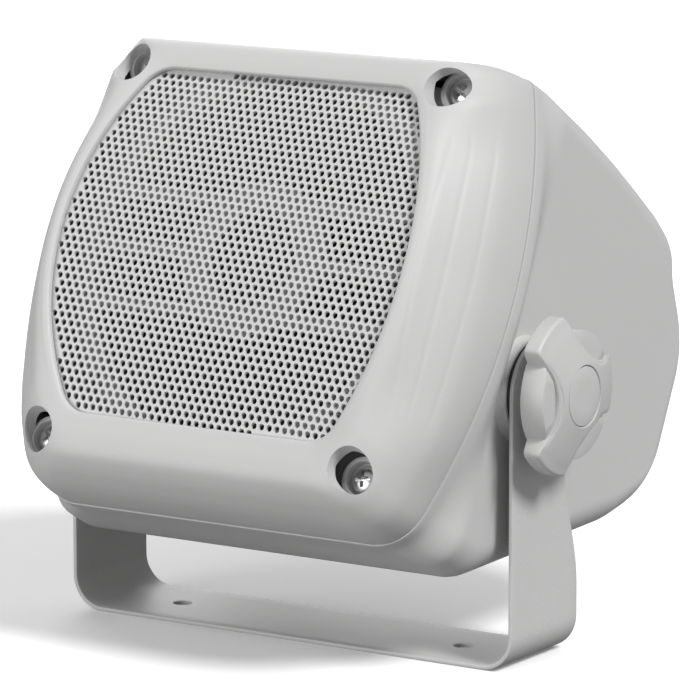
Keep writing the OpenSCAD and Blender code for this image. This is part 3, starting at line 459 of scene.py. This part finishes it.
def grille():
    edge, cover, hole_zone = grille_line(GRILLE_LAP - 0.15), grille_line(1.9), grille_line(-HOLE_R * 0.55)
    row = PITCH * math.sqrt(3) / 2
    c, s = math.cos(ROW_TURN), math.sin(ROW_TURN)
    angles = [math.pi / 6 + k * math.pi / 6 for k in range(CELL_SIDES)]
    hexagon = [PITCH / 2 / math.cos(((a + math.pi / 6) % (math.pi / 3)) - math.pi / 6) for a in angles]

    def around(x, z, radii):
        """Points round a place of the pattern, turned with its rows."""
        local = [(r * math.cos(a), r * math.sin(a)) for r, a in zip(radii, angles)]
        return [(x + u * c - v * s, z + u * s + v * c) for u, v in local]

    def kept(x, z):
        """The point itself, or the nearest point of the sheet's edge where it lies outside."""
        if inside(edge, x, z):
            return x, z
        return edge[int(np.hypot(edge[:, 0] - x, edge[:, 1] - z).argmin())]

    def arched(points, back):
        return [(x, float(arch_y(z)) + (GRILLE_T if back else 0.0), z) for x, z in points]

    verts, faces = [], []
    for j in range(-30, 31):
        for i in range(-32, 33):
            u, v = (i + (j % 2) / 2) * PITCH, j * row
            x, z = u * c - v * s, GRILLE_Z + u * s + v * c
            if not inside(cover, x, z):
                continue
            is_open = inside(hole_zone, x, z)
            faces += cell_faces(len(verts), is_open)
            for back in (False, True):
                verts += arched([kept(*p) for p in around(x, z, hexagon)], back)
                hole_r = HOLE_R + (0.0 if back else 0.1)
                verts += arched(around(x, z, [hole_r] * CELL_SIDES) if is_open else [(x, z)], back)
    obj = piece("grille_sheet", verts, faces, mesh_mat, "cabinet", "grille_paint", sharp=30)
    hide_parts("grille")


# Enclosure
def eased(pairs_y, pairs_z, width=1.6):
    """A profile sampled along its length and smoothed, so its corners turn in a small radius."""
    d = np.concatenate([[0], np.cumsum(np.hypot(np.diff(pairs_y), np.diff(pairs_z)))])
    t = np.arange(0, d[-1], 0.2)
    y, z = np.interp(t, d, pairs_y), np.interp(t, d, pairs_z)
    k = np.exp(-0.5 * (np.arange(-40, 41) * 0.2 / width) ** 2)
    k /= k.sum()

    def smoothed(v):
        padded = np.concatenate([v[0] - (v[40:0:-1] - v[0]), v, v[-1] + (v[-1] - v[-2:-42:-1])])
        return np.convolve(padded, k, "valid")

    return smoothed(y), smoothed(z)


def body_profiles():
    """The top and the underside of the enclosure along Y, each as its Y and its Z."""
    y = np.linspace(0, SHELL_DEPTH, 2681)
    top = np.minimum(
        BEZEL_UP - LIP - TOP_FALL * np.maximum(0, y - 2 * FLANGE_DEPTH),
        np.interp(SHELL_DEPTH - y, [p[0] for p in TOP_BACK], [p[1] for p in TOP_BACK]),
    )
    low = np.maximum(
        -BEZEL_DOWN - UNDER_DROP * np.minimum(1, y / UNDER_DEPTH)
        + np.maximum(0, y - UNDER_DEPTH) * math.tan(math.radians(UNDER_SLOPE)),
        np.interp(SHELL_DEPTH - y, [p[0] for p in BOTTOM_BACK], [p[1] for p in BOTTOM_BACK]),
    )
    return eased(y, top), eased(y, low, 2.5)


def enclosure():
    (ty, tz), (ly, lz) = body_profiles()
    end = SHELL_DEPTH - 0.4

    def ring(y, inset, at):
        yy = min(y, end)
        top, low = np.interp(yy, ty, tz) - inset, np.interp(yy, ly, lz) + inset
        mid, h = (top + low) / 2, max(3, (top - low) / 2)
        into_edge = max(0, (yy - SHELL_DEPTH + EDGE_R) / EDGE_R)
        hw = BODY_W / 2 - EDGE_R * (1 - math.sqrt(max(0, 1 - into_edge**2)))
        rc, low_rc = min(EDGE_R - inset / 2, h - 1), min(LOW_EDGE_R - inset / 2, h - 1)
        body = barrel(hw - inset, h, h, 4000, rc, low_rc, mid)
        t = min(1, max(0, (yy - FLANGE_DEPTH) / (NECK_END - FLANGE_DEPTH)))
        f = t * t * (3 - 2 * t)
        p = bezel_line(inset - LIP) * (1 - f) + body * f
        return np.stack([p[:, 0], np.full(len(p), at), p[:, 1]], 1)

    ys = [1.5, 3] + [FLANGE_DEPTH + i for i in range(16)] + [NECK_END + 2, NECK_END + 4.5, NECK_END + 7]
    marks = sorted(list(ty[::14]) + list(ly[::14]))
    for y in marks:
        if NECK_END + 8 < y < end - 0.1 and y - ys[-1] > 0.18:
            ys.append(float(y))
    ys.append(end)
    outer = []
    for y, back in ((0.0, 0.45), (0.12, 0.12), (0.45, 0.0)):
        p = bezel_line(back - LIP)
        outer.append(np.stack([p[:, 0], np.full(len(p), y), p[:, 1]], 1))
    outer += [ring(y, 0, y) for y in ys]
    reach = SHELL_DEPTH - UNDER_DEPTH
    inner = []
    for y in ys[::-4]:
        at = y if y < UNDER_DEPTH else UNDER_DEPTH + (y - UNDER_DEPTH) * (reach - SHELL_WALL - 0.6) / reach
        inner.append(ring(y, SHELL_WALL, at))
    p = bezel_line(SHELL_WALL - LIP)
    inner.append(np.stack([p[:, 0], np.zeros(len(p)), p[:, 1]], 1))
    verts, faces = skin(inner + outer, caps=True)
    obj = piece("enclosure", verts, faces, shell_mat, "cabinet", "shell_plastic", sharp=40)
    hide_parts("rear_enclosure")
    for side, name in ((-1, "left"), (1, "right")):
        pivot_boss(side, "pivot_boss_" + name)


def pivot_boss(side, name):
    """The round boss that carries a pivot, flared where it leaves the enclosure's side."""
    reach = BOSS_FACE - BODY_W / 2
    prof = [(BOSS_R - 3, -4), (BOSS_R + 2.2, -4), (BOSS_R + 0.8, 0.5), (BOSS_R + 0.1, 1.8),
            (BOSS_R, reach - 0.7), (BOSS_R - 0.2, reach - 0.2), (BOSS_R - 0.7, reach),
            (INSERT_R, reach), (INSERT_R, -4)]
    rings = []
    for p in lathe(prof, 72):
        x = side * (BODY_W / 2 + p[:, 1])
        rings.append(np.stack([x, PIVOT_BACK + p[:, 0], -PIVOT_DROP + p[:, 2]], 1))
    piece(name, *skin(rings, closed=True), shell_mat, "cabinet", "shell_plastic")


# Screws: pan heads with a tapered cross recess
CROSS_W, CROSS_L, CROSS_DEPTH, CROSS_TURN = 0.7, 2.9, 0.75, 20
HEAD_TURN = {(-1, 1): 25, (1, 1): 52, (-1, -1): -15, (1, -1): 8}


def cross_cutter(angle):
    """One bar of the cross recess, narrower and shorter at its floor."""
    c, s = math.cos(angle), math.sin(angle)
    rings = []
    for y, f in ((-HEAD_T - 1, 1.25), (-HEAD_T + HEAD_T * CROSS_DEPTH, 0.55)):
        w, l = CROSS_W * f, CROSS_L * f
        rings.append([(u * c - v * s, y, u * s + v * c) for u, v in ((-l, -w), (l, -w), (l, w), (-l, w))])
    return piece("tool", *skin(rings, caps=True), steel_mat, None, None)


def screw_head():
    """A pan head at the origin of the cabinet frame, with its cross."""
    r, h = HEAD_D / 2, HEAD_T
    prof = [(0.01, 0.35), (r - 0.3, 0.0), (r, -0.3), (r, -h * 0.35)]
    prof += [(r * math.cos(a), -h * (0.35 + 0.65 * math.sin(a))) for a in np.radians(np.arange(10, 90, 10))]
    prof += [(0.01, -h)]
    head = piece("bezel_screws", *skin(lathe(prof, 64)), steel_mat, None, None)
    for k in range(2):
        cut(head, cross_cutter(math.radians(CROSS_TURN + 90 * k)))
    head.data.transform(CAB.inverted())
    return head


def screws():
    head = screw_head()
    base = head.data
    tip = SCREW_LEN - SEAT_Y
    shank_prof = [(SCREW_D / 2, -SEAT_Y), (SCREW_D / 2, tip - 5), (0.6, tip)]
    bm = bmesh.new()
    for sx, sz, x, z in SCREW_SPOTS:
        copy = base.copy()
        turn = Matrix.Rotation(math.radians(HEAD_TURN[sx, sz]), 4, "Y")
        copy.transform(Matrix.Translation(Vector((x, -SEAT_Y - FOOT, z)) / 1000) @ turn)
        bm.from_mesh(copy)
        bpy.data.meshes.remove(copy)
        v, f = skin([ring + [x, 0, z] for ring in lathe(shank_prof, 32)], caps=True)
        shank = bpy.data.meshes.new("shank")
        shank.from_pydata([tuple(np.array(p) / 1000) for p in v], [], f)
        bm.from_mesh(shank)
        bpy.data.meshes.remove(shank)
    bm.to_mesh(base)
    bm.free()
    base.transform(CAB)
    for p in base.polygons:
        p.use_smooth = True
    base.set_sharp_from_angle(angle=math.radians(35))
    head.name = "bezel_screws_fine"
    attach(head, "cabinet")
    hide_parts("bezel_screws")


# Knobs
KNOB_POINTS, KNOB_EDGE, KNOB_ROUND, KNOB_BORE_R = 360, 0.5, 1.3, 4.1
CAP_R = CAP_D / 2


def knob_outline(a):
    """Radius of the lobes at each angle: a circle with three scallops, its corners slightly eased."""
    top = np.full(KNOB_POINTS, KNOB_D / 2)
    far = 99.0
    d = SCALLOP_FLOOR + SCALLOP_R
    for c in np.radians([60, 180, 300]):
        t = (a - c + math.pi) % (2 * math.pi) - math.pi
        hit = (np.abs(np.sin(t)) * d < SCALLOP_R) & (np.abs(t) < math.pi / 2)
        near = d * np.cos(t) - np.sqrt(np.maximum(0, SCALLOP_R**2 - (d * np.sin(t)) ** 2))
        r = np.where(hit, near, far)
        top = np.minimum(top, np.where(r > 0, r, far))
    k = np.exp(-0.5 * (np.arange(-6, 7) / 2.0) ** 2)
    k /= k.sum()
    return np.convolve(np.concatenate([top[-6:], top, top[:6]]), k, mode="valid")


def lobe_fall(r):
    """How much lower than the cap the knob's face lies at a radius."""
    return LOBE_FALL * np.maximum(0, (r - CAP_R - 1) / (KNOB_D / 2 - CAP_R - 1))


def knob_levels(top):
    """Radii and heights of the knob's rings: collar, disc, lobes, rounded edge, face and the cap's seat."""
    n, e, b, c = KNOB_POINTS, KNOB_EDGE, KNOB_ROUND, CAP_R
    disc = np.full(n, KNOB_BASE_D / 2)
    base = np.maximum(top, KNOB_BASE_D / 2)
    low = COLLAR_H + np.where(base > disc + 0.05, 0.8, e)
    ledge = np.minimum(DISC_TOP, KNOB_TOP - lobe_fall(top) - b - 0.1)
    levels = [
        (np.full(n, KNOB_BORE_R), 0.0), (np.full(n, COLLAR_R), 0.0), (np.full(n, COLLAR_R), COLLAR_H),
        (disc - e, COLLAR_H), (disc - e * 0.3, COLLAR_H + e * 0.3), (disc, COLLAR_H + e), (disc, low),
        (np.maximum(disc, base - e), low), (base, low + np.where(base > disc, e, 0)), (base, ledge - e),
        (np.maximum(base - e * 0.3, top), ledge - e * 0.3), (np.maximum(base - e, top), ledge),
        (top, ledge + 0.05),
    ]
    for t in np.radians([0, 22.5, 45, 67.5, 90]):
        levels.append((top - b * (1 - math.cos(t)), KNOB_TOP - lobe_fall(top) - b + b * math.sin(t)))
    for share in (0.85, 0.6, 0.3):
        r = (top - b) * share + (c + 1) * (1 - share)
        levels.append((r, KNOB_TOP - lobe_fall(r)))
    for r, drop in ((c + 0.45, 0), (c + 0.3, 0.1), (c + 0.12, 0.5), (c + 0.05, 3), (KNOB_BORE_R, 3)):
        levels.append((np.full(n, r), KNOB_TOP - drop))
    return levels


def knob(side, name):
    a = np.linspace(0, 2 * math.pi, KNOB_POINTS, endpoint=False)
    rings = []
    for r, z in knob_levels(knob_outline(a)):
        rings.append(np.stack([r * np.cos(a), r * np.sin(a), z + np.zeros(KNOB_POINTS)], 1))
    place = (
        Matrix.Translation(Vector((side * (LEG_OUT + 2 * TOUCH), PIVOT_Y, PIVOT_H)) / 1000)
        @ Matrix.Rotation(math.radians(side * 90), 4, "Y")
        @ Matrix.Rotation(math.radians(90), 4, "Z")
    )
    v, f = skin(rings, closed=True)
    obj = piece("knob_body_" + name, v, f, knob_mat, "knob_" + name, "shell_plastic", place=place)
    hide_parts("knob_" + name)
    drops = [(0.01, 2.9), (CAP_R - 0.05, 2.9), (CAP_R - 0.05, 0.55), (CAP_R - 0.15, 0.2), (CAP_R - 0.5, 0.05),
             (CAP_R * 0.5, 0), (0.01, 0)]
    v, f = skin([p[:, [0, 2, 1]] for p in lathe([(r, KNOB_TOP - drop) for r, drop in drops], 96)])
    cap = piece("knob_button_" + name, v, f, shell_mat, "knob_" + name, "shell_plastic", place=place)
    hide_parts("knob_cap_" + name)


# Bracket: a strap swept along its U, its width following the legs
def bracket():
    half, out = LEG_OUT - BEND_R, LEG_OUT
    mid = STRAP_T / 2
    path = []
    head_r = PIVOT_FROM_FRONT
    zs = [PIVOT_H + head_r * math.sin(t) for t in np.linspace(math.pi / 2 * 0.985, 0, 20)]
    zs += list(np.linspace(PIVOT_H - 2, BEND_R, 36))
    for z in zs:
        path.append((out - mid, z, 1, 0))
    for t in np.linspace(0, math.pi / 2, 14)[1:]:
        r = BEND_R - mid
        path.append((half + r * math.cos(t), BEND_R - r * math.sin(t), math.cos(t), -math.sin(t)))
    for x in np.linspace(half, 0, 12)[1:]:
        path.append((x, mid, 0, -1))
    full = path + [(-x, z, -nx, nz) for x, z, nx, nz in path[-2::-1]]

    def edges(z):
        front = -STRAP_DEPTH / 2
        f = min(1, max(0, (z - TAPER_LOW) / (TAPER_HIGH - TAPER_LOW)))
        rear = STRAP_DEPTH / 2 - (STRAP_DEPTH / 2 - PIVOT_Y - head_r + 0.6) * (1 - math.cos(math.pi * f)) / 2
        if z > PIVOT_H:
            w = math.sqrt(max(0, head_r**2 - (z - PIVOT_H) ** 2))
            front, rear = PIVOT_Y - w, PIVOT_Y + w
        elif z > PIVOT_H - 6:
            rear = max(rear, PIVOT_Y + math.sqrt(max(0, head_r**2 - (z - PIVOT_H) ** 2)))
        return front, rear

    cols = 9
    rings = []
    for x, z, nx, nz in full:
        front, rear = edges(z)
        b = min(0.35, (rear - front) * 0.2)
        ring = []
        for w, t in ((0, -mid + b), (b * 0.3, -mid + b * 0.3), (b, -mid)):
            ring.append((front + w, t))
        for k in range(1, cols):
            ring.append((front + b + (rear - front - 2 * b) * k / cols, -mid))
        edge = ((b, -mid), (b * 0.3, -mid + b * 0.3), (0, -mid + b))
        for w, t in edge + ((0, mid - b), (b * 0.3, mid - b * 0.3), (b, mid)):
            ring.append((rear - w, t))
        for k in range(cols - 1, 0, -1):
            ring.append((front + b + (rear - front - 2 * b) * k / cols, mid))
        for w, t in ((b, mid), (b * 0.3, mid - b * 0.3), (0, mid - b)):
            ring.append((front + w, t))
        rings.append([(x + nx * t, y, z + nz * t) for y, t in ring])
    v, f = skin(rings, caps=True)
    obj = piece("strap", v, f, coat_mat, "bracket", "bracket_paint", place=Matrix.Identity(4))
    for sx in (-1, 1):
        r = BASE_HOLE_D / 2
        prof = [(r + 0.6, -2), (r, 0.25), (r, STRAP_T - 0.25), (r + 0.5, STRAP_T + 0.25), (r + 0.5, 6)]
        rings = [p[:, [0, 2, 1]] + [sx * HOLE_SPACING / 2, 0, 0] for p in lathe(prof, 48)]
        tv, tf = skin(rings, caps=True)
        cut(obj, piece("tool", tv, tf, coat_mat, None, None, place=Matrix.Identity(4)))
    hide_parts("bracket")


bezel()
bezel_wells()
grille()
enclosure()
screws()
knob(1, "right")
knob(-1, "left")
bracket()


# Stage, lights and camera
FLOOR_REACH, FLOOR_PALE, FLOOR_BOUNCE, FLOOR_GLOW = 6, (0.98, 0.98, 0.98, 1), (0.27, 0.27, 0.27, 1), 0.14
WORLD_STRENGTH = 0.33
KEY_STRENGTH, KEY_SPREAD, KEY_WAY = 2.65, math.radians(18), Vector((-0.68, 0.14, -0.72))
AIM = Vector((0, 0.01, 0.1))
SOFT_BOX = 1.6
AZ, EL, DIST = math.radians(33.145), math.radians(10.245), 1.7104
SHIFT_R, SHIFT_U, FOCAL_PX = -0.010069, -0.095061, 5000.0
FRAME_PX, SENSOR_MM = 700.0, 36.0
scene = bpy.context.scene


def put_light(name, light, way):
    """A light that shines along a direction."""
    obj = bpy.data.objects.new(name, light)
    scene.collection.objects.link(obj)
    obj.rotation_mode = "QUATERNION"
    obj.rotation_quaternion = way.to_track_quat("-Z", "Y")
    return obj


def soft_box(name, place, power):
    """A square light, in metres and watts, that faces the object."""
    light = bpy.data.lights.new(name, "AREA")
    light.shape, light.size, light.energy = "SQUARE", SOFT_BOX, power
    put_light(name, light, AIM - Vector(place)).location = place


floor_data = bpy.data.meshes.new("floor")
corners = [(x * FLOOR_REACH, y * FLOOR_REACH, 0) for x, y in ((-1, -1), (1, -1), (1, 1), (-1, 1))]
floor_data.from_pydata(corners, [], [(0, 1, 2, 3)])
floor = bpy.data.objects.new("floor", floor_data)
scene.collection.objects.link(floor)
floor_mat = bpy.data.materials.new("pale_floor")
floor_mat.use_nodes = True
floor_nodes, floor_links = floor_mat.node_tree.nodes, floor_mat.node_tree.links
floor_bsdf = floor_nodes["Principled BSDF"]
floor_bsdf.inputs["Base Color"].default_value = FLOOR_PALE
floor_bsdf.inputs["Roughness"].default_value = 0.8
floor_bsdf.inputs["Specular IOR Level"].default_value = 0.1
floor_bsdf.inputs["Emission Color"].default_value = (1, 1, 1, 1)
floor_bsdf.inputs["Emission Strength"].default_value = FLOOR_GLOW
# The floor throws little light back, as under the photograph's studio lights
bounce = floor_nodes.new("ShaderNodeBsdfDiffuse")
bounce.inputs["Color"].default_value = FLOOR_BOUNCE
seen = floor_nodes.new("ShaderNodeLightPath")
either = floor_nodes.new("ShaderNodeMixShader")
floor_links.new(seen.outputs["Is Camera Ray"], either.inputs[0])
floor_links.new(bounce.outputs[0], either.inputs[1])
floor_links.new(floor_bsdf.outputs[0], either.inputs[2])
floor_links.new(either.outputs[0], floor_nodes["Material Output"].inputs["Surface"])
floor_data.materials.append(floor_mat)

world = bpy.data.worlds.new("studio")
scene.world = world
world.use_nodes = True
world.node_tree.nodes["Background"].inputs["Color"].default_value = (1, 1, 1, 1)
world.node_tree.nodes["Background"].inputs["Strength"].default_value = WORLD_STRENGTH
scene.view_settings.view_transform = "Standard"

key = bpy.data.lights.new("key", "SUN")
key.energy, key.angle = KEY_STRENGTH, KEY_SPREAD
put_light("key", key, KEY_WAY)
soft_box("fill", (-0.7, -2.1, 0.15), 40)
soft_box("rear_fill", (-1.4, 1.6, 0.9), 22)

right = Vector((math.cos(AZ), math.sin(AZ), 0))
back = Vector((math.sin(AZ) * math.cos(EL), -math.cos(AZ) * math.cos(EL), math.sin(EL)))
up = back.cross(right)
cam_data = bpy.data.cameras.new("camera")
cam_data.sensor_width = SENSOR_MM
cam_data.lens = FOCAL_PX * SENSOR_MM / FRAME_PX
cam_data.clip_start, cam_data.clip_end = 0.05, 50.0
cam = bpy.data.objects.new("camera", cam_data)
scene.collection.objects.link(cam)
turned = Matrix((right, up, back)).transposed().to_4x4()
cam.matrix_world = Matrix.Translation(DIST * back - SHIFT_R * right - SHIFT_U * up) @ turned
scene.camera = cam
